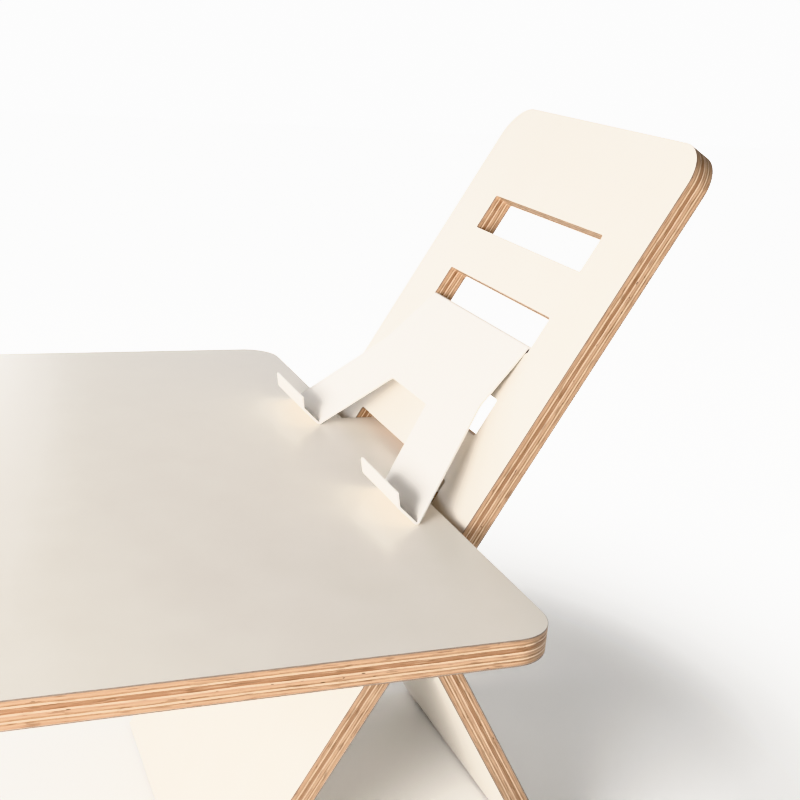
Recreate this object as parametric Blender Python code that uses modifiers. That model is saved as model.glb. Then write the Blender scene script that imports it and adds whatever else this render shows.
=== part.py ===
"""Plug-together plywood desk stand.

A laminated panel leans back and has a column of equal slots. A shelf plugs into one slot from the front,
and a prop plugs into the next one down from behind, so the panel and the prop stand like a letter A.
A rack bent from one sheet of steel hooks through a higher slot and stands on the shelf.
Units are metres, +Z is up, +Y is to the back, and the stand's footprint is centred on the origin.
"""
import math

import bmesh
import bpy
from mathutils import Matrix, Vector

# Boards
LEAN = math.radians(30.0)              # panel and prop, from the vertical
BOARD = 0.018                          # finished thickness of every board
LAMINATE = 0.0008                      # sheet bonded on each face of a board
GLUE_LINE = 0.0001                     # between a sheet and the plywood core
CORNER_RADIUS = 0.030                  # outer corners of the boards
SEAT = 0.0003                          # gap between pieces that rest on each other

# Panel and its slots, counted from the top
PANEL_WIDTH = 0.300
TOP_MARGIN = 0.085                     # first slot's upper edge to the panel's top
SLOT_COUNT = 5
SLOT_PITCH = 0.073                     # along the panel
SLOT_LENGTH = 0.184
SLOT_CORNER = 0.002
SHELF_SLOT = 4
PROP_SLOT = 5

# Plug-in boards
SLOT_FIT = 0.00035                     # clearance on each face of a tongue in its slot
TONGUE_CORNER = 0.004                  # rounding of a tongue's free corners
TONGUE_REACH = 0.014                   # tongue past the far face of the panel
SHELF_HEIGHT = 0.320                   # top of the shelf above the table
SHELF_WIDTH = 0.640
SHELF_DEPTH = 0.357
SHOULDER_GAP = 0.0033                  # shelf's shoulders to the panel, where they come nearest

# Rubber feet
FOOT_HEIGHT = 0.003
FOOT_LENGTH = 0.045
FOOT_WIDTH = 0.017
FOOT_INSET = 0.022                     # from the side of the board

# Rack, bent from one sheet
RACK_LEAN = math.radians(43.0)         # from the vertical
SHEET = 0.002
BEND_RADIUS = 0.002                    # at the middle of the sheet
RACK_WAIST = 0.194                     # width where the legs begin to splay
WAIST_RISE = 0.094                     # above the lower bend
WAIST_RADIUS = 0.025
RACK_INSET = 0.002                     # the two feet, from the panel's sides
FOOT_PLATE_WIDTH = 0.073
FOOT_PLATE_RUN = 0.018                 # flat stretch that carries the papers
LIP_RUN = 0.011
LIP_LEAN = math.radians(11.0)          # forward from the vertical
WINDOW_RISE = 0.069                    # top of the gap between the legs, above the lower bend
WINDOW_TOP_WIDTH = 0.075
WINDOW_RADIUS = 0.004
TAIL_DROP = 0.008                      # turned-down end behind the panel
TAIL_GAP = 0.001                       # between that end and the panel's rear face

# Fineness of round stretches
ARC_STEPS = 8
BEND_STEPS = 4
WELD = 1e-6

# Values that follow from the sizes above
SIN, COS = math.sin(LEAN), math.cos(LEAN)
PROP_WIDTH = PANEL_WIDTH               # the two boards stand as a pair
RACK_SLOT = SHELF_SLOT - 2             # the rack is about two pitches tall
RACK_SPREAD = PANEL_WIDTH - 2.0 * RACK_INSET
SLOT_HEIGHT = (BOARD * (1.0 + SIN) + 2.0 * SLOT_FIT) / COS
SLOT_FLAT = SLOT_LENGTH / 2.0 - SLOT_CORNER    # half of a slot's straight edge, which tongues and tab fill
CORE = BOARD - 2.0 * (LAMINATE + GLUE_LINE)
TONGUE_LENGTH = (BOARD + SLOT_FIT + BOARD * SIN) / COS * SIN + BOARD * COS + TONGUE_REACH
TRIM_HEIGHT = FOOT_HEIGHT + SEAT       # level of the boards' lower ends
SLOT_BASE_HEIGHT = SHELF_HEIGHT - BOARD - SLOT_FIT


def slot_base(number):
    """Height of a slot's lower edge along the panel, from the lower edge of the shelf's slot."""
    return (SHELF_SLOT - number) * SLOT_PITCH


PANEL_TOP = slot_base(1) + SLOT_HEIGHT + TOP_MARGIN
PROP_BASE = slot_base(PROP_SLOT)
PROP_EDGE_HEIGHT = SLOT_BASE_HEIGHT + PROP_BASE * COS - BOARD * SIN
PROP_EDGE_BACK = PROP_BASE * SIN + BOARD * COS
FRONT_REACH = SHOULDER_GAP + SHELF_DEPTH
PROP_BACK = PROP_EDGE_BACK + (PROP_EDGE_HEIGHT - TRIM_HEIGHT) * SIN / COS + (BOARD + SLOT_FIT) / COS
BACK_REACH = max(PANEL_TOP * SIN + BOARD * COS, PROP_BACK)
PANEL_BACK = (FRONT_REACH - BACK_REACH) / 2.0


def clear_scene():
    """Removes everything that the file already holds."""
    for item in list(bpy.data.objects):
        bpy.data.objects.remove(item, do_unlink=True)


def collection(name):
    """A new collection in the scene."""
    group = bpy.data.collections.new(name)
    bpy.context.scene.collection.children.link(group)
    return group


def material(name, colour, roughness, metallic=0.0):
    """A Principled material of one colour."""
    made = bpy.data.materials.new(name)
    made.use_nodes = True
    shader = made.node_tree.nodes["Principled BSDF"]
    shader.inputs["Base Color"].default_value = (*colour, 1.0)
    shader.inputs["Roughness"].default_value = roughness
    shader.inputs["Metallic"].default_value = metallic
    return made


def frame(name, origin, across, along, group):
    """An empty whose local X runs across a piece, Y along it and Z out of its face."""
    out = across.cross(along)
    axes = Matrix((across, along, out)).transposed().to_4x4()
    empty = bpy.data.objects.new(name, None)
    empty.empty_display_size = 0.05
    empty.matrix_world = Matrix.Translation(origin) @ axes
    group.objects.link(empty)
    return empty


def rounded(corners):
    """Points of a closed outline whose corners (x, y, radius) are arcs."""
    points = []
    for index, (x, y, radius) in enumerate(corners):
        corner = Vector((x, y))
        before = (Vector(corners[index - 1][:2]) - corner).normalized()
        after = (Vector(corners[(index + 1) % len(corners)][:2]) - corner).normalized()
        if radius <= 0.0:
            points.append(corner)
            continue
        half = before.angle(after) / 2.0
        centre = corner + (before + after).normalized() * radius / math.sin(half)
        start = corner + before * radius / math.tan(half) - centre
        sweep = -start.angle_signed(corner + after * radius / math.tan(half) - centre)
        for step in range(ARC_STEPS + 1):
            turned = Matrix.Rotation(sweep * step / ARC_STEPS, 2) @ start
            points.append(centre + turned)
    return points


def flat_mesh(name, loops, thickness):
    """A flat sheet from an outline and its holes, centred on its local XY plane."""
    curve = bpy.data.curves.new(name, "CURVE")
    curve.dimensions = "2D"
    curve.fill_mode = "BOTH"
    curve.extrude = thickness / 2.0
    for loop in loops:
        spline = curve.splines.new("POLY")
        spline.points.add(len(loop) - 1)
        for point, place in zip(spline.points, loop):
            point.co = (place.x, place.y, 0.0, 1.0)
        spline.use_cyclic_u = True
    guide = bpy.data.objects.new(name, curve)
    bpy.context.scene.collection.objects.link(guide)
    bpy.context.view_layer.update()
    evaluated = guide.evaluated_get(bpy.context.evaluated_depsgraph_get())
    mesh = bpy.data.meshes.new_from_object(evaluated)
    bpy.data.objects.remove(guide)
    bpy.data.curves.remove(curve)
    mesh.name = name
    shape = bmesh.new()
    shape.from_mesh(mesh)
    bmesh.ops.remove_doubles(shape, verts=shape.verts, dist=WELD)
    bmesh.ops.recalc_face_normals(shape, faces=shape.faces)
    shape.to_mesh(mesh)
    shape.free()
    return mesh


def piece(name, mesh, parent, height, finish, group):
    """One sub-part, standing at a height over the face of its parent frame."""
    made = bpy.data.objects.new(name, mesh)
    made.parent = parent
    made.location = (0.0, 0.0, height)
    made.data.materials.clear()
    made.data.materials.append(finish)
    group.objects.link(made)
    return made


def trim(made, cutter):
    """Cuts a board's lower end level with the table."""
    cut = made.modifiers.new("level_end", "BOOLEAN")
    cut.operation = "DIFFERENCE"
    cut.solver = "EXACT"
    cut.object = cutter


def laminated(names, loops, lower_face, parent, finishes, group):
    """A board of three bonded layers: lower sheet, plywood core and upper sheet."""
    depths = (LAMINATE, CORE, LAMINATE)
    height = lower_face
    layers = []
    for name, depth, finish in zip(names, depths, finishes):
        mesh = flat_mesh(name, loops, depth)
        layers.append(piece(name, mesh, parent, height + depth / 2.0, finish, group))
        height += depth + GLUE_LINE
    return layers


def panel_loops():
    """The panel's outline, with its lower end past the table, and its slots."""
    half = PANEL_WIDTH / 2.0
    low = -SLOT_BASE_HEIGHT / COS - BOARD
    loops = [rounded([(-half, low, 0.0), (half, low, 0.0),
                      (half, PANEL_TOP, CORNER_RADIUS), (-half, PANEL_TOP, CORNER_RADIUS)])]
    end = SLOT_LENGTH / 2.0
    for number in range(1, SLOT_COUNT + 1):
        base = slot_base(number)
        top = base + SLOT_HEIGHT
        loops.append(rounded([(-end, base, SLOT_CORNER), (end, base, SLOT_CORNER),
                              (end, top, SLOT_CORNER), (-end, top, SLOT_CORNER)]))
    return loops


def plug_loops(width, length, gap, end_radius):
    """A board with a tongue: the shoulders stop short of the panel by a gap."""
    half = width / 2.0
    shoulder = -gap
    return [rounded([(-half, shoulder - length, end_radius), (half, shoulder - length, end_radius),
                     (half, shoulder, CORNER_RADIUS), (SLOT_FLAT, shoulder, 0.0),
                     (SLOT_FLAT, TONGUE_LENGTH, TONGUE_CORNER), (-SLOT_FLAT, TONGUE_LENGTH, TONGUE_CORNER),
                     (-SLOT_FLAT, shoulder, 0.0), (-half, shoulder, CORNER_RADIUS)])]


def feet(board, back, half_width, parent, finish, group):
    """Two rubber pads under the level end of a board."""
    side = half_width - FOOT_INSET - FOOT_LENGTH / 2.0
    for name, x in (("left", -side), ("right", side)):
        mesh = bpy.data.meshes.new(f"{board}_foot_{name}")
        shape = bmesh.new()
        size = Matrix.Diagonal((FOOT_LENGTH, FOOT_WIDTH, FOOT_HEIGHT, 1.0))
        bmesh.ops.create_cube(shape, size=1.0, matrix=size)
        shape.to_mesh(mesh)
        shape.free()
        pad = piece(mesh.name, mesh, None, 0.0, finish, group)
        pad.location = (x, back, FOOT_HEIGHT / 2.0)
        pad.parent = parent
        pad.matrix_parent_inverse = parent.matrix_world.inverted()


def rack_outline(top):
    """Flat face of the rack from the lower bend up to the upper bend, with the gap between its legs."""
    waist = RACK_WAIST / 2.0
    outer = RACK_SPREAD / 2.0
    inner = outer - FOOT_PLATE_WIDTH
    window = WINDOW_TOP_WIDTH / 2.0
    right = [(inner, 0.0, 0.0), (outer, 0.0, 0.0), (waist, WAIST_RISE, WAIST_RADIUS), (SLOT_FLAT, top, 0.0)]
    left = [(-x, y, radius) for x, y, radius in reversed(right)]
    gap = [(-window, WINDOW_RISE, WINDOW_RADIUS), (window, WINDOW_RISE, WINDOW_RADIUS)]
    return rounded(right + left + gap)


def border(shape, level):
    """Open edges of the surface that lie at a height along the rack."""
    found = []
    for edge in shape.edges:
        if edge.is_boundary and all(abs(vert.co.y - level) < WELD for vert in edge.verts):
            found.append(edge)
    return found


def run_on(shape, edges, step):
    """Extends the sheet from some edges by a straight stretch, and returns the new edges."""
    made = bmesh.ops.extrude_edge_only(shape, edges=edges)["geom"]
    moved = [item for item in made if isinstance(item, bmesh.types.BMVert)]
    bmesh.ops.translate(shape, verts=moved, vec=step)
    return [item for item in made if isinstance(item, bmesh.types.BMEdge)]


def bend(shape, edges, centre, angle):
    """Bends the sheet on from some edges, about a line along X, and returns the new edges."""
    made = bmesh.ops.spin(shape, geom=edges, cent=centre, axis=(1.0, 0.0, 0.0), angle=angle,
                          steps=BEND_STEPS, use_merge=False)["geom_last"]
    return [item for item in made if isinstance(item, bmesh.types.BMEdge)]


def rack_mesh(tab_level, tail_depth):
    """The bent sheet's middle surface, in a frame whose X axis is the centre line of the lower bend."""
    top = tab_level - BEND_RADIUS
    mesh = flat_mesh("rack_plate", [rack_outline(top)], 0.0)
    shape = bmesh.new()
    shape.from_mesh(mesh)
    bmesh.ops.translate(shape, verts=shape.verts, vec=(0.0, 0.0, -BEND_RADIUS))
    upper, lower = border(shape, top), border(shape, 0.0)
    quarter = math.pi / 2.0
    # Feet: forward out of the plate, then up into the lips
    lower = bend(shape, lower, (0.0, 0.0, 0.0), -quarter)
    lower = run_on(shape, lower, (0.0, 0.0, FOOT_PLATE_RUN))
    rise = quarter - LIP_LEAN - RACK_LEAN
    lower = bend(shape, lower, (0.0, 0.0, FOOT_PLATE_RUN), -rise)
    run_on(shape, lower, (0.0, LIP_RUN * math.sin(rise), LIP_RUN * math.cos(rise)))
    # Tab: back through the slot, then down behind the panel
    upper = bend(shape, upper, (0.0, top, -2.0 * BEND_RADIUS), -quarter)
    upper = run_on(shape, upper, (0.0, 0.0, tail_depth + 3.0 * BEND_RADIUS))
    upper = bend(shape, upper, (0.0, top, tail_depth + BEND_RADIUS), -quarter)
    run_on(shape, upper, (0.0, -TAIL_DROP, 0.0))
    bmesh.ops.remove_doubles(shape, verts=shape.verts, dist=WELD)
    bmesh.ops.recalc_face_normals(shape, faces=shape.faces)
    shape.to_mesh(mesh)
    shape.free()
    return mesh


def rack(finish, group):
    """The rack, seated on the shelf and on the lower edge of its slot."""
    along = Vector((0.0, math.sin(RACK_LEAN), math.cos(RACK_LEAN)))
    out = Vector((0.0, -math.cos(RACK_LEAN), math.sin(RACK_LEAN)))
    panel_up = Vector((0.0, SIN, COS))
    panel_out = Vector((0.0, -COS, SIN))
    origin = Vector((0.0, PANEL_BACK, SLOT_BASE_HEIGHT))
    front_edge = origin + panel_up * slot_base(RACK_SLOT)
    rear_edge = front_edge - panel_out * BOARD
    # The lower bend's centre line lies over the shelf, and the plate just clears the slot's front edge
    line = front_edge + out * (SEAT + SHEET / 2.0 + BEND_RADIUS)
    level = SHELF_HEIGHT + SEAT + BEND_RADIUS + SHEET / 2.0
    centre = line - along * (line.z - level) / along.z
    tab_level = (rear_edge - centre).dot(along) + SEAT + SHEET / 2.0
    # The turned-down end clears the panel's rear face at its tip
    tip = tab_level - BEND_RADIUS - TAIL_DROP
    offset = (centre - rear_edge).dot(panel_out)
    face = -(offset + tip * along.dot(panel_out)) / out.dot(panel_out)
    tail_depth = face - TAIL_GAP - SHEET / 2.0
    seat = frame("rack_frame", centre, Vector((1.0, 0.0, 0.0)), along, group)
    made = piece("rack_plate", rack_mesh(tab_level, tail_depth), seat, 0.0, finish, group)
    shell = made.modifiers.new("sheet", "SOLIDIFY")
    shell.thickness = SHEET
    shell.offset = 0.0
    shell.use_even_offset = True
    made.data.shade_smooth()
    made.data.set_sharp_from_angle(angle=math.radians(35.0))


def table_cutter(group):
    """A block under the table's level plus the feet, which trims the boards' lower ends."""
    span = 4.0 * (PANEL_WIDTH + SHELF_DEPTH)
    bpy.ops.mesh.primitive_cube_add(size=1.0, location=(0.0, 0.0, TRIM_HEIGHT - span / 2.0))
    cutter = bpy.context.object
    cutter.name = "table_cutter"
    cutter.scale = (span, span, span)
    cutter.hide_render = True
    cutter.display_type = "WIRE"
    for owner in list(cutter.users_collection):
        owner.objects.unlink(cutter)
    group.objects.link(cutter)
    return cutter


def main():
    """Builds the stand."""
    clear_scene()
    group = collection("desk_stand")
    cutters = collection("cutters")
    plywood = material("birch_plywood", (0.62, 0.40, 0.22), 0.6)
    white = material("off_white_laminate", (0.87, 0.83, 0.77), 0.35)
    steel = material("white_powder_coated_steel", (0.89, 0.87, 0.84), 0.4)
    rubber = material("black_rubber", (0.03, 0.03, 0.03), 0.8)
    layers = (white, plywood, white)
    across = Vector((1.0, 0.0, 0.0))
    cutter = table_cutter(cutters)

    origin = Vector((0.0, PANEL_BACK, SLOT_BASE_HEIGHT))
    panel = frame("panel_frame", origin, across, Vector((0.0, SIN, COS)), group)
    names = ("panel_rear_laminate", "panel_core", "panel_front_laminate")
    boards = laminated(names, panel_loops(), -BOARD, panel, layers, group)

    shelf = frame("shelf_frame", origin, across, Vector((0.0, 1.0, 0.0)), group)
    names = ("shelf_bottom_laminate", "shelf_core", "shelf_top_laminate")
    loops = plug_loops(SHELF_WIDTH, SHELF_DEPTH, SHOULDER_GAP, CORNER_RADIUS)
    laminated(names, loops, SLOT_FIT, shelf, layers, group)

    edge = Vector((0.0, PANEL_BACK + PROP_EDGE_BACK, PROP_EDGE_HEIGHT))
    prop = frame("prop_frame", edge, -across, Vector((0.0, -SIN, COS)), group)
    names = ("prop_front_laminate", "prop_core", "prop_rear_laminate")
    loops = plug_loops(PROP_WIDTH, PROP_EDGE_HEIGHT / COS + BOARD, SEAT, 0.0)
    boards += laminated(names, loops, SLOT_FIT, prop, layers, group)
    for board in boards:
        trim(board, cutter)

    # Each foot lies under the middle of its board's level end
    panel_drop = (SLOT_BASE_HEIGHT - TRIM_HEIGHT) * SIN / COS
    panel_foot = PANEL_BACK - panel_drop + BOARD / 2.0 / COS
    feet("panel", panel_foot, PANEL_WIDTH / 2.0, panel, rubber, group)
    prop_foot = PANEL_BACK + PROP_BACK - BOARD / 2.0 / COS
    feet("prop", prop_foot, PROP_WIDTH / 2.0, prop, rubber, group)

    rack(steel, group)
    bpy.context.view_layer.update()


main()
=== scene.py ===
"""Looks of a plug-together plywood desk stand with a bent steel rack.

Every board is three bonded layers and every layer is a slab: an outline with holes, given a thickness and
eased edges. The rack is drawn as the flat sheet that it is cut from, then folded. All sizes are in metres
unless a comment says otherwise, +Z is up and +Y is to the back.
"""
import math

import bpy
import numpy as np
from mathutils import Matrix, Vector
from mathutils.geometry import delaunay_2d_cdt


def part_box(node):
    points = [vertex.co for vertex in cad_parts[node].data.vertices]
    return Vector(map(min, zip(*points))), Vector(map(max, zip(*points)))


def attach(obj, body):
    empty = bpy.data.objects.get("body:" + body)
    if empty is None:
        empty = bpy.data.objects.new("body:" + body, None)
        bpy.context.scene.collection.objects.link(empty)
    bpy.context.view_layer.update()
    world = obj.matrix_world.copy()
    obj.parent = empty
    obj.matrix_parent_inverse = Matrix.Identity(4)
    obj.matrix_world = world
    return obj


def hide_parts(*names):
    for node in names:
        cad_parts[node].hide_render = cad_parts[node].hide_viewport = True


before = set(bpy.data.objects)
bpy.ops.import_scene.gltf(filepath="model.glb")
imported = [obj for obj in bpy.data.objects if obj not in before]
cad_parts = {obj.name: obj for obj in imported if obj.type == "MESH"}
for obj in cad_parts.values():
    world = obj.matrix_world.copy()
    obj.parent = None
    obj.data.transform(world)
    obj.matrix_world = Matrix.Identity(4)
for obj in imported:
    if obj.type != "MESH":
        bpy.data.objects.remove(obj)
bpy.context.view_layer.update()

# Boards, as the frame has them
LEAN = math.radians(30.0)              # panel and prop, from the vertical
SIN, COS = math.sin(LEAN), math.cos(LEAN)
LAMINATE = 0.0008                      # sheet bonded on each face of a board
GLUE_LINE = 0.0001                     # between a sheet and the plywood core
SEAT = 0.0003                          # gap between pieces that rest on each other
SLOT_FIT = 0.00035                     # clearance on each face of a tongue in its slot
SHOULDER_GAP = 0.0033                  # shelf's shoulders to the panel, where they come nearest
CORNER_RADIUS = 0.030                  # outer corners of the boards
SHELF_LOW, SHELF_HIGH = (np.array(corner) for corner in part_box("shelf_core"))
SHELF_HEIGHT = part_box("shelf_top_laminate")[1][2]
BOARD = SHELF_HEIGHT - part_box("shelf_bottom_laminate")[0][2]
CORE = BOARD - 2.0 * (LAMINATE + GLUE_LINE)
SHELF_WIDTH = SHELF_HIGH[0] - SHELF_LOW[0]
PANEL_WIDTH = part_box("panel_core")[1][0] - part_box("panel_core")[0][0]

# The panel's slots, counted from the top
SLOT_COUNT = 5
SHELF_SLOT = 4
PROP_SLOT = 5
RACK_SLOT = 2
SLOT_PITCH = 0.073                     # along the panel
SLOT_LENGTH = 0.184
SLOT_CORNER = 0.002
SLOT_HEIGHT = (BOARD * (1.0 + SIN) + 2.0 * SLOT_FIT) / COS    # lets a level board through
SLOT_FLAT = SLOT_LENGTH / 2.0 - SLOT_CORNER    # half of a slot's straight edge, which tongues and tab fill
TOP_MARGIN = 0.085                     # first slot's upper edge to the panel's top
TONGUE_REACH = 0.014                   # tongue past the far face of the panel
TONGUE_CORNER = 0.004                  # rounding of a tongue's free corners
# From the slot's lower edge to the panel's far face at the tongue's other side, and past it
TONGUE_LENGTH = (BOARD + SLOT_FIT + BOARD * SIN) / COS * SIN + BOARD * COS + TONGUE_REACH
NOTCH_RADIUS = 0.0006                  # inner corner between a tongue and its shoulder

# Places in the frame; those along the panel are counted from the lower edge of the shelf's slot
PANEL_BACK = SHELF_HIGH[1] - TONGUE_LENGTH                # the panel's front face, at that edge
SLOT_BASE_HEIGHT = SHELF_HEIGHT - BOARD - SLOT_FIT        # height of that edge
SHELF_DEPTH = PANEL_BACK - SHOULDER_GAP - SHELF_LOW[1]    # without the tongue
PANEL_TOP = (SHELF_SLOT - 1) * SLOT_PITCH + SLOT_HEIGHT + TOP_MARGIN
TRIM_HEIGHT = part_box("panel_foot_left")[1][2] + SEAT      # level of the boards' lower ends
TRIM_BAND = 0.002                      # points this near a leaning board's lower end are set level
PROP_BASE = (SHELF_SLOT - PROP_SLOT) * SLOT_PITCH
# Lower edge of the prop's slot, on the panel's rear face
PROP_EDGE_HEIGHT = SLOT_BASE_HEIGHT + PROP_BASE * COS - BOARD * SIN
PROP_EDGE_BACK = PANEL_BACK + PROP_BASE * SIN + BOARD * COS

# Rack
RACK_LEAN = math.radians(43.0)         # from the vertical
SHEET = 0.002                          # thickness of the steel
BEND_RADIUS = 0.002                    # at the middle of the sheet
RACK_WAIST = 0.194                     # width where the legs begin to splay
WAIST_RISE = 0.094                     # above the lower bend
WAIST_RADIUS = 0.025
RACK_SPREAD = 0.296                    # over both feet
FOOT_PLATE_WIDTH = 0.073
FOOT_PLATE_RUN = 0.018                 # flat stretch between the lip's bend and the plate's
LIP_RUN = 0.011
LIP_LEAN = math.radians(11.0)          # forward from the vertical
LIP_CORNER = 0.0012
WINDOW_RISE = 0.069                    # top of the gap between the legs, above the lower bend
WINDOW_TOP_WIDTH = 0.075
WINDOW_RADIUS = 0.004
TAIL_DROP = 0.008                      # turned-down end behind the panel
TAIL_GAP = 0.001                       # between that end and the panel's rear face
TAIL_CORNER = 0.003
SPLAY_RADIUS = 0.006                   # where a leg's slanted sides run into its foot

# Fineness and easing of edges
ARC_STEPS = 14                         # in a rounded corner
BEND_STEPS = 8                         # in a fold of the steel
EASE_STEPS = 3                         # in an eased edge
RIM_LEVELS = 2 * (EASE_STEPS + 1)      # points through a slab's thickness, from eased edge to eased edge
CORE_EASE = 0.0001
LAMINATE_EASE = 0.00028
STEEL_EASE = 0.0005
RUBBER_EASE = 0.0006
PAD_CORNER = 0.003                     # corners of the rubber feet, seen from above
SAME = 1e-9                            # points, or heights, closer than this are one
TOUCH = 1e-12                          # a side only touches a level if its ends' offsets multiply to less

# Plywood: thick and thin plies take turns and run across each other, so an edge that runs up the board shows
# the end grain of the thick ones and an edge that runs across it that of the thin ones
THIN_PLY = 0.00095
UP_EDGE_PLIES = ("pale", "honey", "tan", "cream", "tan", "honey", "pale", "cream",
                 "brown", "umber", "umber", "cream", "tan", "honey", "pale")
CROSS_EDGE_PLIES = ("rose", "blush", "rose", "blush", "tan", "rose", "rose", "blush",
                    "rose", "tan", "blush", "rose", "rose", "blush", "rose")
PLY_TONES = {"tan": "9D7B5E", "pale": "AF8C70", "honey": "BD9A7C", "cream": "E2C7AA", "brown": "936B4E",
             "umber": "977256", "rose": "C4A68A", "blush": "967658"}
THIN_COUNT = len(UP_EDGE_PLIES) // 2
THICK_PLY = (CORE - THIN_COUNT * THIN_PLY) / (len(UP_EDGE_PLIES) - THIN_COUNT)
PLY_WAVE = 0.0006                      # how far a glue line wanders
WAVE_SIZE = (0.060, 0.020)             # along the edge and through the board
# Marks on the wood: size along and through the edge, detail, range of the noise, strength and colour
WOOD_MARKS = (
    (0.034, 0.00055, 3.0, 0.52, 0.72, 0.40, "6B4424"),     # dark streaks
    (0.020, 0.00070, 2.0, 0.44, 0.28, 0.25, "DCC2A2"),     # pale streaks
    (0.0140, 0.00120, 1.0, 0.60, 0.70, 0.45, "5C3A1E"),    # dark dashes
    (0.0012, 0.00070, 1.0, 0.50, 0.80, 0.15, "6E4C30"),    # pores, coarser than real ones so that they show
    (0.0060, 0.00140, 0.0, 0.88, 0.91, 0.85, "452A14"),    # small knots
)

# Sizes of the patterns in the other finishes
CLOUD = 0.045                          # faint clouds in the laminate
PEARL = 0.0009                         # its pressed grain, coarser than the real one so that it shows
SAW_MARK = 0.0012                      # on the laminate's cut edge
SPRAY = 0.030                          # thicker and thinner powder coat
PEEL = 0.0016                          # its orange peel
BLOOM = 0.006                          # greyish patches on the rubber
GRIT = 0.0008                          # its moulded grain, coarser than the real one so that it shows

# Sockets of a Mix node for colours, by number because their names repeat
MIX_SHARE, MIX_FROM, MIX_TO, MIXED = 0, 6, 7, 2

# Camera, fitted to the panel's edges and slots in an 800 by 800 picture
CAMERA_PLACE = (0.9094, -0.2861, 0.6678)
CAMERA_TURN = math.radians(66.97)      # from +Y towards -X
CAMERA_DIP = math.radians(17.05)       # below the level
CAMERA_ROLL = math.radians(4.98)
CAMERA_LENS = 57.23                    # in millimetres, as is the sensor
SENSOR_WIDTH = 36.0

# Light
SURROUND_LIGHT = 0.185                 # glow that lights the object
SURROUND_SEEN = 3.0                    # glow that the surround shows to the camera alone
FLOOR_HALF = 6.0                       # half of the floor's side
FLOOR_SEEN = 2.5                       # glow that the far floor shows to the camera alone
FLOOR_FADE = (0.45, 1.0)               # distance from the stand over which that glow sets in
# Soft lights: place, what they face, width and height, power in watts
LIGHTS = {
    "key": ((1.25, -1.75, 0.8), (0.0, 0.1, 0.4), (1.3, 1.1), 118.0),
    "front": ((-0.15, -1.8, 0.6), (0.0, 0.1, 0.36), (0.9, 0.4), 19.0),
    "left": ((-1.5, -0.5, 0.7), (0.0, 0.0, 0.36), (1.0, 0.6), 5.2),
    "far_low": ((-1.7, 0.55, 0.62), (-0.1, 0.0, 0.32), (1.6, 0.6), 4.3),
    "top_rear": ((-0.5, 1.0, 1.7), (0.0, -0.1, 0.32), (1.2, 1.2), 3.0),
    "rear": ((-0.2, 2.1, 0.3), (0.0, 0.3, 0.3), (1.6, 0.45), 22.0),
}
GLARE_FREE = ("key", "front")          # strong lights that no surface mirrors


def linear(code):
    """Linear colour with alpha from an sRGB hex code."""
    channels = np.array([int(code[place:place + 2], 16) for place in (0, 2, 4)]) / 255.0
    low = channels / 12.92
    high = ((channels + 0.055) / 1.055) ** 2.4
    return (*np.where(channels <= 0.04045, low, high).tolist(), 1.0)


def node(tree, kind, inputs=None, **settings):
    """Adds one shader node. Settings are its properties; inputs are socket values or outputs to link."""
    made = tree.nodes.new(kind)
    for name, value in settings.items():
        setattr(made, name, value)
    for socket, value in (inputs or {}).items():
        if isinstance(value, bpy.types.NodeSocket):
            tree.links.new(value, made.inputs[socket])
        else:
            made.inputs[socket].default_value = value
    return made


def new_material(name, shader_inputs):
    """A material made of one Principled shader. A function gives the shader's inputs for the node tree."""
    made = bpy.data.materials.new(name)
    made.use_nodes = True
    tree = made.node_tree
    tree.nodes.clear()
    shader = node(tree, "ShaderNodeBsdfPrincipled", shader_inputs(tree))
    node(tree, "ShaderNodeOutputMaterial", {"Surface": shader.outputs["BSDF"]})
    return made


def laminate_face(tree):
    """High-pressure laminate, pressed satin: an even warm white, faintly cloudy, with a fine pearl grain."""
    place = node(tree, "ShaderNodeTexCoord").outputs["Object"]
    cloud = node(tree, "ShaderNodeTexNoise", {"Vector": place, "Scale": 1 / CLOUD, "Detail": 3.0})
    tint = node(tree, "ShaderNodeMix", {MIX_SHARE: cloud.outputs["Fac"], MIX_FROM: linear("E0D8CD"),
                                        MIX_TO: linear("E6DFD5")}, data_type="RGBA")
    gloss = node(tree, "ShaderNodeMapRange", {"Value": cloud.outputs["Fac"], "To Min": 0.29, "To Max": 0.37})
    pearl = node(tree, "ShaderNodeTexNoise", {"Vector": place, "Scale": 1 / PEARL, "Detail": 2.0})
    bump = node(tree, "ShaderNodeBump",
                {"Height": pearl.outputs["Fac"], "Strength": 0.12, "Distance": 0.0001})
    return {"Base Color": tint.outputs[MIXED], "Roughness": gloss.outputs["Result"],
            "Normal": bump.outputs["Normal"], "IOR": 1.5}


def laminate_edge(tree):
    """Cut edge of the laminate: brown phenolic paper, sawn and matt, with fine light and dark marks."""
    place = node(tree, "ShaderNodeTexCoord").outputs["Object"]
    marks = node(tree, "ShaderNodeTexNoise", {"Vector": place, "Scale": 1 / SAW_MARK, "Detail": 2.0})
    tint = node(tree, "ShaderNodeMix", {MIX_SHARE: marks.outputs["Fac"], MIX_FROM: linear("746456"),
                                        MIX_TO: linear("938070")}, data_type="RGBA")
    return {"Base Color": tint.outputs[MIXED], "Roughness": 0.55}


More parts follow.
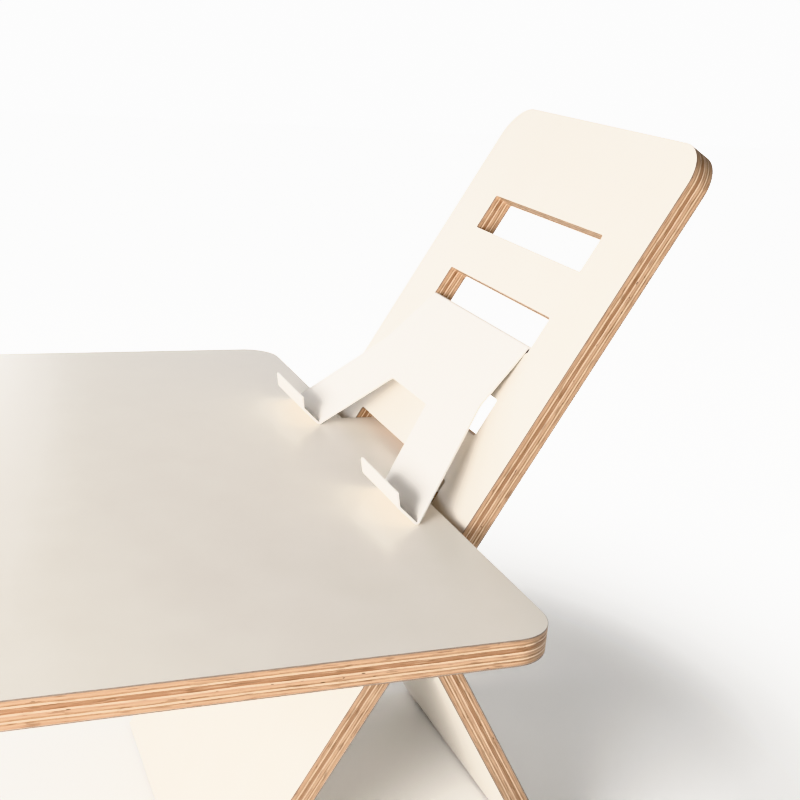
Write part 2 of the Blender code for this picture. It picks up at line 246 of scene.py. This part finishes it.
def ply_colours(tree, spot):
    """Colours of the plies on an edge. They step at each glue line, and the glue lines wander a little. The
    runs_up attribute is 1 on an edge that runs up the board and 0 on one that runs across it."""
    sized = node(tree, "ShaderNodeMapping",
                 {"Vector": spot, "Scale": (1 / WAVE_SIZE[0], 1 / WAVE_SIZE[1], 1.0)})
    wave = node(tree, "ShaderNodeTexNoise", {"Vector": sized.outputs[0], "Scale": 1.0, "Detail": 4.0},
                noise_dimensions="2D")
    shift = node(tree, "ShaderNodeMapRange",
                 {"Value": wave.outputs["Fac"], "To Min": -PLY_WAVE, "To Max": PLY_WAVE})
    depth = node(tree, "ShaderNodeSeparateXYZ", {"Vector": spot})
    moved = node(tree, "ShaderNodeMath", {0: depth.outputs["Y"], 1: shift.outputs["Result"]},
                 operation="ADD")
    share = node(tree, "ShaderNodeMath", {0: moved.outputs[0], 1: CORE}, operation="DIVIDE")
    plies = []
    for tones in (CROSS_EDGE_PLIES, UP_EDGE_PLIES):
        ramp = node(tree, "ShaderNodeValToRGB", {"Fac": share.outputs[0]})
        ramp.color_ramp.interpolation = "CONSTANT"
        stops = ramp.color_ramp.elements
        stops.remove(stops[1])
        for number, tone in enumerate(tones):
            start = (number // 2 * (THICK_PLY + THIN_PLY) + number % 2 * THICK_PLY) / CORE
            stop = stops.new(start) if number else stops[0]
            stop.color = linear(PLY_TONES[tone])
        plies.append(ramp.outputs["Color"])
    cross_edge, up_edge = plies
    runs_up = node(tree, "ShaderNodeAttribute", attribute_name="runs_up")
    return node(tree, "ShaderNodeMix", {MIX_SHARE: runs_up.outputs["Fac"], MIX_FROM: cross_edge,
                                        MIX_TO: up_edge}, data_type="RGBA").outputs[MIXED]


def plywood_edge(tree):
    """Sanded and oiled birch plywood edge: tan plies of end grain between thinner cream lines, a few plies
    browner than the rest, fine streaks along the edge and here and there a small knot. The UV map holds the
    distance along the edge and the depth through the core, in metres."""
    spot = node(tree, "ShaderNodeUVMap", uv_map="edge").outputs["UV"]
    wood = ply_colours(tree, spot)
    marks = []
    for along, through, detail, low, high, strength, colour in WOOD_MARKS:
        sized = node(tree, "ShaderNodeMapping", {"Vector": spot, "Scale": (1 / along, 1 / through, 1.0)})
        mark = node(tree, "ShaderNodeTexNoise", {"Vector": sized.outputs[0], "Scale": 1.0, "Detail": detail},
                    noise_dimensions="2D").outputs["Fac"]
        cover = node(tree, "ShaderNodeMapRange",
                     {"Value": mark, "From Min": low, "From Max": high, "To Max": strength},
                     interpolation_type="SMOOTHSTEP")
        wood = node(tree, "ShaderNodeMix", {MIX_SHARE: cover.outputs["Result"], MIX_FROM: wood,
                                            MIX_TO: linear(colour)}, data_type="RGBA").outputs[MIXED]
        marks.append(mark)
    dark_streaks = marks[0]
    gloss = node(tree, "ShaderNodeMapRange", {"Value": dark_streaks, "To Min": 0.5, "To Max": 0.68})
    bump = node(tree, "ShaderNodeBump", {"Height": dark_streaks, "Strength": 0.3, "Distance": 0.0002})
    return {"Base Color": wood, "Roughness": gloss.outputs["Result"], "Normal": bump.outputs["Normal"],
            "IOR": 1.45}


def coated_steel(tree):
    """White polyester powder coat on sheet steel, sprayed and baked: a warm white that is a little thicker
    in places, with a shallow orange peel."""
    place = node(tree, "ShaderNodeTexCoord").outputs["Object"]
    spray = node(tree, "ShaderNodeTexNoise", {"Vector": place, "Scale": 1 / SPRAY, "Detail": 2.0})
    tint = node(tree, "ShaderNodeMix", {MIX_SHARE: spray.outputs["Fac"], MIX_FROM: linear("F0EAE2"),
                                        MIX_TO: linear("F4EEE7")}, data_type="RGBA")
    peel = node(tree, "ShaderNodeTexNoise", {"Vector": place, "Scale": 1 / PEEL, "Detail": 1.0})
    gloss = node(tree, "ShaderNodeMapRange", {"Value": peel.outputs["Fac"], "To Min": 0.34, "To Max": 0.46})
    bump = node(tree, "ShaderNodeBump",
                {"Height": peel.outputs["Fac"], "Strength": 0.15, "Distance": 0.0001})
    return {"Base Color": tint.outputs[MIXED], "Roughness": gloss.outputs["Result"],
            "Normal": bump.outputs["Normal"], "IOR": 1.5}


def black_rubber(tree):
    """Moulded black rubber, matt, with a fine grit and a greyish bloom."""
    place = node(tree, "ShaderNodeTexCoord").outputs["Object"]
    bloom = node(tree, "ShaderNodeTexNoise", {"Vector": place, "Scale": 1 / BLOOM, "Detail": 3.0})
    tint = node(tree, "ShaderNodeMix", {MIX_SHARE: bloom.outputs["Fac"], MIX_FROM: linear("222222"),
                                        MIX_TO: linear("343433")}, data_type="RGBA")
    grit = node(tree, "ShaderNodeTexNoise", {"Vector": place, "Scale": 1 / GRIT, "Detail": 2.0})
    gloss = node(tree, "ShaderNodeMapRange", {"Value": grit.outputs["Fac"], "To Min": 0.7, "To Max": 0.9})
    bump = node(tree, "ShaderNodeBump", {"Height": grit.outputs["Fac"], "Strength": 0.3, "Distance": 0.0001})
    return {"Base Color": tint.outputs[MIXED], "Roughness": gloss.outputs["Result"],
            "Normal": bump.outputs["Normal"]}


def pale_floor(tree):
    """Matt painted floor, a pale warm grey. Away from the stand it glows to the camera alone, so that it
    runs into the white surround without lighting the object."""
    place = node(tree, "ShaderNodeTexCoord").outputs["Object"]
    away = node(tree, "ShaderNodeVectorMath", {0: place}, operation="LENGTH").outputs["Value"]
    glow = node(tree, "ShaderNodeMapRange", {"Value": away, "From Min": FLOOR_FADE[0],
                                             "From Max": FLOOR_FADE[1], "To Max": FLOOR_SEEN},
                interpolation_type="SMOOTHSTEP")
    seen = node(tree, "ShaderNodeLightPath").outputs["Is Camera Ray"]
    shown = node(tree, "ShaderNodeMath", {0: glow.outputs["Result"], 1: seen}, operation="MULTIPLY")
    return {"Base Color": linear("F6F5F3"), "Roughness": 0.6, "Emission Color": linear("FFFFFF"),
            "Emission Strength": shown.outputs[0]}


def outline(corners, levels=()):
    """Points of a closed outline. Each corner (x, y, radius) becomes an arc that touches both of its sides,
    and each level adds a point wherever a side crosses that height."""
    *places, radii = np.array(corners, float).T
    places = np.column_stack(places)
    neighbours = zip(np.roll(places, 1, 0), places, np.roll(places, -1, 0), radii)
    stretches = []
    for before, place, after, radius in neighbours:
        if radius <= 0.0:
            stretches.append(place[None])
            continue
        inward = (before - place) / np.linalg.norm(before - place)
        onward = (after - place) / np.linalg.norm(after - place)
        half = math.acos(np.clip(inward @ onward, -1.0, 1.0)) / 2.0
        middle = (inward + onward) / np.linalg.norm(inward + onward)
        centre = place + middle * radius / math.sin(half)
        side = np.array([-middle[1], middle[0]])
        side *= np.sign(side @ onward)
        swing = np.linspace(half - math.pi / 2.0, math.pi / 2.0 - half, ARC_STEPS + 1)[:, None]
        stretches.append(centre + radius * (-middle * np.cos(swing) + side * np.sin(swing)))
    points = np.concatenate(stretches)
    for level in levels:
        ahead = np.roll(points, -1, 0)
        crossed = (points[:, 1] - level) * (ahead[:, 1] - level) < -TOUCH
        where = np.nonzero(crossed)[0]
        share = ((level - points[where, 1]) / (ahead[where, 1] - points[where, 1]))[:, None]
        points = np.insert(points, where + 1, points[where] + share * (ahead[where] - points[where]), axis=0)
    return points


def outward(points):
    """Unit vectors square to an outline, away from its left: the mean of the two sides at each point."""
    steps = np.roll(points, -1, 0) - points
    steps /= np.linalg.norm(steps, axis=1)[:, None]
    mean = steps + np.roll(steps, 1, 0)
    mean /= np.linalg.norm(mean, axis=1)[:, None]
    return np.stack([mean[:, 1], -mean[:, 0]], 1)


def fill(loops, rows):
    """Triangles that fill the first loop and leave the others open: those whose centres a ray to the right
    finds inside it. Rows are pairs of points to keep joined."""
    points = np.concatenate(loops)
    ends = np.cumsum([len(loop) for loop in loops])
    ahead = np.arange(1, len(points) + 1)
    ahead[ends - 1] = np.concatenate([[0], ends[:-1]])
    edges = np.column_stack([np.arange(len(points)), ahead]).tolist() + list(rows)
    places, _, triangles, source, _, _ = delaunay_2d_cdt(points.tolist(), edges, [], 0, SAME)
    source = np.array(source)[:, 0]
    triangles = np.array(triangles)
    centres = np.array(places)[triangles].mean(1)
    kept = np.ones(len(triangles), bool)
    for number, loop in enumerate(loops):
        ahead = np.roll(loop, -1, 0)
        spans = (loop[None, :, 1] > centres[:, None, 1]) != (ahead[None, :, 1] > centres[:, None, 1])
        rise = np.where(ahead[:, 1] == loop[:, 1], 1.0, ahead[:, 1] - loop[:, 1])
        cross = loop[:, 0] + (centres[:, None, 1] - loop[:, 1]) / rise * (ahead[:, 0] - loop[:, 0])
        inside = (spans & (centres[:, None, 0] < cross)).sum(1) % 2 == 1
        kept &= inside if number == 0 else ~inside
    return source[triangles[kept]]


def cap(loops, numbers, upward, rows):
    """The flat face between loops at one height, as triangles of the given point numbers. A triangle whose
    corners run the wrong way round for a face that looks up, or down, is turned over."""
    flat = np.concatenate(loops)
    filled = fill(loops, rows)
    first, second, third = (flat[filled[:, place]] for place in range(3))
    twist = (second[:, 0] - first[:, 0]) * (third[:, 1] - first[:, 1]) \
        - (second[:, 1] - first[:, 1]) * (third[:, 0] - first[:, 0])
    wanted = (twist > 0.0) == upward
    return np.concatenate(numbers)[np.where(wanted[:, None], filled, filled[:, ::-1])]


def slab(loops, low, high, eases, rows=()):
    """A flat sheet between two heights. Its rim is a profile carried round each loop: straight through the
    thickness, with a quarter-round of the lower and the upper ease at its ends. Returns the points, the
    rim's quads, the flat faces' triangles, and each quad corner's distance along its loop and height."""
    quarter = np.linspace(0.0, math.pi / 2.0, EASE_STEPS + 1)
    lower, upper = eases
    insets = np.concatenate([lower * (1.0 - np.sin(quarter)), upper * (1.0 - np.cos(quarter))])
    heights = np.concatenate([low + lower * (1.0 - np.cos(quarter)), high - upper * (1.0 - np.sin(quarter))])
    points, rim, spots, grids, numbers = [], [], [], [], []
    start = 0
    reach = 0.0
    for loop in loops:
        count = len(loop)
        grid = loop[:, None, :] - outward(loop)[:, None, :] * insets[None, :, None]
        lift = np.broadcast_to(heights[None, :, None], (count, RIM_LEVELS, 1))
        points.append(np.concatenate([grid, lift], 2).reshape(-1, 3))
        sides = np.linalg.norm(np.roll(loop, -1, 0) - loop, axis=1)
        length = reach + np.concatenate([[0.0], np.cumsum(sides)])
        reach = length[-1]
        step, level = np.meshgrid(np.arange(count), np.arange(RIM_LEVELS - 1), indexing="ij")
        corners = [(step, level), (step + 1, level), (step + 1, level + 1), (step, level + 1)]
        quads = np.stack([start + (along % count) * RIM_LEVELS + up for along, up in corners], 2)
        rim.append(quads.reshape(-1, 4))
        marks = np.stack([np.stack([length[along], heights[up]], 2) for along, up in corners], 2)
        spots.append(marks.reshape(-1, 4, 2))
        grids.append(grid)
        numbers.append(start + np.arange(count * RIM_LEVELS).reshape(count, RIM_LEVELS))
        start += count * RIM_LEVELS
    caps = [cap([grid[:, end] for grid in grids], [index[:, end] for index in numbers], end > 0, rows)
            for end in (0, RIM_LEVELS - 1)]
    return np.concatenate(points), np.concatenate(rim), np.concatenate(caps), np.concatenate(spots)


def build(name, points, faces, materials, body, stands_for):
    """Makes a piece of a slab: rim quads take the first material and the flat faces the last. Flat faces
    keep flat shading up to their eased edges, because vertex normals are weighted by area."""
    rim, caps, spots = faces
    mesh = bpy.data.meshes.new(name)
    mesh.from_pydata(points, [], rim.tolist() + caps.tolist())
    for finish in materials:
        mesh.materials.append(finish)
    numbers = np.concatenate([np.zeros(len(rim), int), np.full(len(caps), len(materials) - 1)])
    mesh.polygons.foreach_set("material_index", numbers)
    corners = np.zeros((rim.size + caps.size, 2))
    corners[:rim.size] = spots.reshape(-1, 2)
    mesh.uv_layers.new(name="edge").data.foreach_set("uv", corners.ravel())
    mesh.shade_smooth()
    mesh.update()
    piece = bpy.data.objects.new(name, mesh)
    bpy.context.scene.collection.objects.link(piece)
    piece.modifiers.new("even_shading", "WEIGHTED_NORMAL").keep_sharp = True
    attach(piece, body)
    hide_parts(stands_for)
    return piece


def placed(points, origin, across, along):
    """Points of a piece drawn flat, set on its own axes: across it, along it and out of its face."""
    axes = np.array([across, along, np.cross(across, along)], float)
    return np.asarray(origin) + points @ axes


def level_end(points, lowest):
    """Slants the lower end of a board so that it stands level: the end's points slide along the board by
    their height over its face times the tangent of the lean."""
    at_end = points[:, 1] < lowest + TRIM_BAND
    moved = points.copy()
    moved[:, 1] = np.where(at_end, points[:, 1] - points[:, 2] * SIN / COS, points[:, 1])
    return moved


def board(names, loops, lower_face, seat, body, finishes, lowest=None):
    """Three bonded layers, each a slab, named from the lower face up with the nodes that they replace. The
    sheets ease their outer edge, the core hardly any. The core's points say how far its edge runs up the
    board: how much the outline looks sideways there."""
    depths = (LAMINATE, CORE, LAMINATE)
    eases = ((LAMINATE_EASE, 0.0), (CORE_EASE, CORE_EASE), (0.0, LAMINATE_EASE))
    face, edge, wood = finishes
    layers = ((edge, face), (wood,), (edge, face))
    slots = ("laminate", "plywood", "laminate")
    height = lower_face
    for (name, stands_for), depth, ease, layer, slot_name in zip(names, depths, eases, layers, slots):
        points, rim, caps, spots = slab(loops, height, height + depth, ease)
        if lowest is not None:
            points = level_end(points, lowest)
        spots[:, :, 1] -= height
        piece = build(name, placed(points, *seat), (rim, caps, spots), layer, body, stands_for)
        if slot_name == "plywood":
            sideways = np.abs(np.concatenate([outward(loop)[:, 0] for loop in loops]))
            runs_up = piece.data.attributes.new("runs_up", "FLOAT", "POINT")
            runs_up.data.foreach_set("value", np.repeat(sideways, RIM_LEVELS))
        height += depth + GLUE_LINE


def panel_loops(lowest):
    """The panel's outline with round upper corners, and its slots, which run the other way round."""
    half = PANEL_WIDTH / 2.0
    end = SLOT_LENGTH / 2.0
    loops = [outline([(-half, lowest, 0.0), (half, lowest, 0.0),
                      (half, PANEL_TOP, CORNER_RADIUS), (-half, PANEL_TOP, CORNER_RADIUS)])]
    for number in range(1, SLOT_COUNT + 1):
        base = (SHELF_SLOT - number) * SLOT_PITCH
        top = base + SLOT_HEIGHT
        loops.append(outline([(-end, top, SLOT_CORNER), (end, top, SLOT_CORNER),
                              (end, base, SLOT_CORNER), (-end, base, SLOT_CORNER)]))
    return loops


def plug_loops(width, lowest, gap, end_radius):
    """A board whose shoulders stop short of the panel by a gap and whose tongue goes on through a slot."""
    half = width / 2.0
    return [outline([(-half, lowest, end_radius), (half, lowest, end_radius),
                     (half, -gap, CORNER_RADIUS), (SLOT_FLAT, -gap, NOTCH_RADIUS),
                     (SLOT_FLAT, TONGUE_LENGTH, TONGUE_CORNER), (-SLOT_FLAT, TONGUE_LENGTH, TONGUE_CORNER),
                     (-SLOT_FLAT, -gap, NOTCH_RADIUS), (-half, -gap, CORNER_RADIUS)])]


def boards(finishes):
    """The panel, the shelf and the prop."""
    across = (1.0, 0.0, 0.0)
    origin = (0.0, PANEL_BACK, SLOT_BASE_HEIGHT)
    lowest = (TRIM_HEIGHT - SLOT_BASE_HEIGHT) / COS
    names = (("panel_rear_sheet", "panel_rear_laminate"), ("panel_plywood", "panel_core"),
             ("panel_front_sheet", "panel_front_laminate"))
    board(names, panel_loops(lowest), -BOARD, (origin, across, (0.0, SIN, COS)), "panel", finishes, lowest)

    names = (("shelf_lower_sheet", "shelf_bottom_laminate"), ("shelf_plywood", "shelf_core"),
             ("shelf_upper_sheet", "shelf_top_laminate"))
    loops = plug_loops(SHELF_WIDTH, -SHOULDER_GAP - SHELF_DEPTH, SHOULDER_GAP, CORNER_RADIUS)
    board(names, loops, SLOT_FIT, (origin, across, (0.0, 1.0, 0.0)), "shelf", finishes)

    names = (("prop_front_sheet", "prop_front_laminate"), ("prop_plywood", "prop_core"),
             ("prop_rear_sheet", "prop_rear_laminate"))
    lowest = (TRIM_HEIGHT - PROP_EDGE_HEIGHT) / COS
    seat = ((0.0, PROP_EDGE_BACK, PROP_EDGE_HEIGHT), (-1.0, 0.0, 0.0), (0.0, -SIN, COS))
    board(names, plug_loops(PANEL_WIDTH, lowest, SEAT, 0.0), SLOT_FIT, seat, "prop", finishes, lowest)


def feet(rubber):
    """Rubber pads with round corners, each in the box of its own frame node."""
    for name in ("panel_foot_left", "panel_foot_right", "prop_foot_left", "prop_foot_right"):
        low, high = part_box(name)
        loop = outline([(low[0], low[1], PAD_CORNER), (high[0], low[1], PAD_CORNER),
                        (high[0], high[1], PAD_CORNER), (low[0], high[1], PAD_CORNER)])
        points, *faces = slab([loop], low[2], high[2], (RUBBER_EASE, RUBBER_EASE))
        body = name.split("_")[0]
        build(f"{name}_pad", points, faces, (rubber,), body, name)


def folded(points, stretches, distance, place, heading):
    """Folds a flat sheet. A point's second number is its distance along the sheet, which is made of
    stretches (length, turn), each straight or an arc. The sheet's middle follows them from a given distance,
    place and heading, and the point stands off the middle by its third number."""
    far = points[:, 1]
    along = np.zeros((len(points), 2))
    out = np.zeros((len(points), 2))
    place = np.array(place, float)
    for number, (length, turn) in enumerate(stretches):
        first = number == 0
        last = number == len(stretches) - 1
        here = ((far >= distance) | first) & ((far < distance + length) | last)
        part = far[here] - distance
        angle = heading + turn * part / length
        if turn:
            radius = length / turn
            run = radius * np.stack([np.sin(angle) - math.sin(heading),
                                     math.cos(heading) - np.cos(angle)], 1)
            stop = radius * np.array([math.sin(heading + turn) - math.sin(heading),
                                      math.cos(heading) - math.cos(heading + turn)])
        else:
            run = part[:, None] * np.array([math.cos(heading), math.sin(heading)])
            stop = length * np.array([math.cos(heading), math.sin(heading)])
        along[here] = place + run
        out[here] = np.stack([-np.sin(angle), np.cos(angle)], 1)
        place = place + stop
        heading += turn
        distance += length
    bent = along + out * points[:, 2:]
    return np.column_stack([points[:, 0], bent])


def rack_seat():
    """How the rack hangs: the centre of its lower bends, the direction up its plate, how far up from that
    centre its tab lies and how long the tab is between its bends. The lower bends stand on the shelf, the
    plate leans on the front edge of the slot's lower side, the tab lies on its rear edge, and the
    turned-down end just clears the panel's rear face."""
    along = np.array([0.0, math.sin(RACK_LEAN), math.cos(RACK_LEAN)])
    out = np.array([0.0, -math.cos(RACK_LEAN), math.sin(RACK_LEAN)])
    panel_up = np.array([0.0, SIN, COS])
    panel_out = np.array([0.0, -COS, SIN])
    slot_rise = (SHELF_SLOT - RACK_SLOT) * SLOT_PITCH
    front_edge = np.array([0.0, PANEL_BACK, SLOT_BASE_HEIGHT]) + panel_up * slot_rise
    rear_edge = front_edge - panel_out * BOARD
    line = front_edge + out * (SEAT + SHEET / 2.0 + BEND_RADIUS)
    level = SHELF_HEIGHT + SEAT + BEND_RADIUS + SHEET / 2.0
    centre = line - along * (line[2] - level) / along[2]
    tab_level = (rear_edge - centre) @ along + SEAT + SHEET / 2.0
    tip = tab_level - BEND_RADIUS - TAIL_DROP
    face = -((centre - rear_edge) @ panel_out + tip * (along @ panel_out)) / (out @ panel_out)
    tail = TAIL_GAP + SHEET / 2.0 - face
    # The plate lies one radius behind the centre, and a bend takes one more at each end of the tab
    tab_run = tail - 3.0 * BEND_RADIUS
    return centre, along, tab_level, tab_run


def rack_blank(ends, plate, levels):
    """The flat sheet that the rack is cut from: a tab on top, a waist, two splayed legs that end in feet and
    lips, and the gap between them. Also the rows of points that lie across it at the given levels."""
    outer = RACK_SPREAD / 2.0
    inner = outer - FOOT_PLATE_WIDTH
    window = WINDOW_TOP_WIDTH / 2.0
    right = [(inner, 0.0, SPLAY_RADIUS), (inner, ends[0], LIP_CORNER), (outer, ends[0], LIP_CORNER),
             (outer, 0.0, SPLAY_RADIUS), (RACK_WAIST / 2.0, WAIST_RISE, WAIST_RADIUS),
             (SLOT_FLAT, plate, 0.0), (SLOT_FLAT, ends[-1], TAIL_CORNER)]
    left = [(-x, y, radius) for x, y, radius in reversed(right)]
    gap = [(-window, WINDOW_RISE, WINDOW_RADIUS), (window, WINDOW_RISE, WINDOW_RADIUS)]
    loop = outline(right + left + gap, levels)
    rows = []
    for height in levels:
        found = np.nonzero(np.abs(loop[:, 1] - height) < SAME)[0]
        found = found[np.argsort(loop[found, 0])]
        rows += found.reshape(-1, 2).tolist()
    return loop, rows


def rack(steel):
    """The rack, folded from its flat sheet: lip, foot, plate, tab and turned-down end, with bends between.
    Distances along the sheet are counted from the plate's lower end."""
    centre, along, tab_level, tab_run = rack_seat()
    quarter = math.pi / 2.0
    lip_turn = quarter - LIP_LEAN - RACK_LEAN
    plate = tab_level - BEND_RADIUS
    below = [(LIP_RUN, 0.0), (BEND_RADIUS * lip_turn, lip_turn),
             (FOOT_PLATE_RUN, 0.0), (BEND_RADIUS * quarter, quarter)]
    above = [(plate, 0.0), (BEND_RADIUS * quarter, -quarter),
             (tab_run, 0.0), (BEND_RADIUS * quarter, -quarter), (TAIL_DROP, 0.0)]
    stretches = below + above
    ends = np.concatenate([[0.0], np.cumsum([length for length, _ in stretches])])
    ends -= ends[len(below)]
    levels = np.concatenate([np.linspace(ends[number], ends[number + 1], BEND_STEPS + 1)
                             for number, (_, turn) in enumerate(stretches) if turn])
    loop, rows = rack_blank(ends, plate, levels)
    points, *faces = slab([loop], -SHEET / 2.0, SHEET / 2.0, (STEEL_EASE, STEEL_EASE), rows)

    heading = -sum(turn for _, turn in below)
    plate_foot = np.array([[0.0, ends[len(below)], 0.0]])
    _, run, lift = folded(plate_foot, stretches, ends[0], (0.0, 0.0), heading)[0]
    bent = folded(points, stretches, ends[0], (-run, -BEND_RADIUS - lift), heading)
    world = placed(bent, centre, (1.0, 0.0, 0.0), along)
    build("bent_steel_rack", world, faces, (steel,), "rack", "rack_plate")


def camera():
    """The camera, turned from +Y towards -X, dipped and rolled."""
    data = bpy.data.cameras.new("camera")
    data.lens = CAMERA_LENS
    data.sensor_width = SENSOR_WIDTH
    made = bpy.data.objects.new("camera", data)
    turn = Matrix.Rotation(CAMERA_TURN, 4, "Z") @ Matrix.Rotation(math.pi / 2.0 - CAMERA_DIP, 4, "X")
    made.matrix_world = Matrix.Translation(CAMERA_PLACE) @ turn @ Matrix.Rotation(CAMERA_ROLL, 4, "Z")
    bpy.context.scene.collection.objects.link(made)
    bpy.context.scene.camera = made


def soft_light(name, place, target, size, power):
    """A rectangular soft light that faces a point and doesn't show itself to the camera."""
    data = bpy.data.lights.new(name, "AREA")
    data.shape = "RECTANGLE"
    data.size, data.size_y = size
    data.energy = power
    made = bpy.data.objects.new(name, data)
    made.location = place
    made.rotation_euler = (Vector(target) - Vector(place)).to_track_quat("-Z", "Y").to_euler()
    made.visible_camera = False
    made.visible_glossy = name not in GLARE_FREE
    bpy.context.scene.collection.objects.link(made)


def stage_floor():
    """A square floor at the level that the stand rests on."""
    corners = FLOOR_HALF * np.array([(-1.0, -1.0, 0.0), (1.0, -1.0, 0.0), (1.0, 1.0, 0.0), (-1.0, 1.0, 0.0)])
    mesh = bpy.data.meshes.new("floor")
    mesh.from_pydata(corners, [], [(0, 1, 2, 3)])
    mesh.materials.append(new_material("pale_floor", pale_floor))
    floor = bpy.data.objects.new("floor", mesh)
    bpy.context.scene.collection.objects.link(floor)


def white_surround():
    """A white surround, which shows brighter to the camera than it lights the object."""
    world = bpy.data.worlds.new("white_surround")
    world.use_nodes = True
    tree = world.node_tree
    tree.nodes.clear()
    seen = node(tree, "ShaderNodeLightPath").outputs["Is Camera Ray"]
    strength = node(tree, "ShaderNodeMapRange",
                    {"Value": seen, "To Min": SURROUND_LIGHT, "To Max": SURROUND_SEEN})
    glow = node(tree, "ShaderNodeBackground",
                {"Color": linear("FFFFFF"), "Strength": strength.outputs["Result"]})
    node(tree, "ShaderNodeOutputWorld", {"Surface": glow.outputs["Background"]})
    bpy.context.scene.world = world


board_finishes = (new_material("satin_off_white_laminate", laminate_face),
                  new_material("brown_laminate_edge", laminate_edge),
                  new_material("oiled_birch_plywood_edge", plywood_edge))
boards(board_finishes)
feet(new_material("moulded_black_rubber", black_rubber))
rack(new_material("white_powder_coat", coated_steel))
camera()
stage_floor()
white_surround()
for light, settings in LIGHTS.items():
    soft_light(light, *settings)
bpy.context.scene.view_settings.view_transform = "Khronos PBR Neutral"
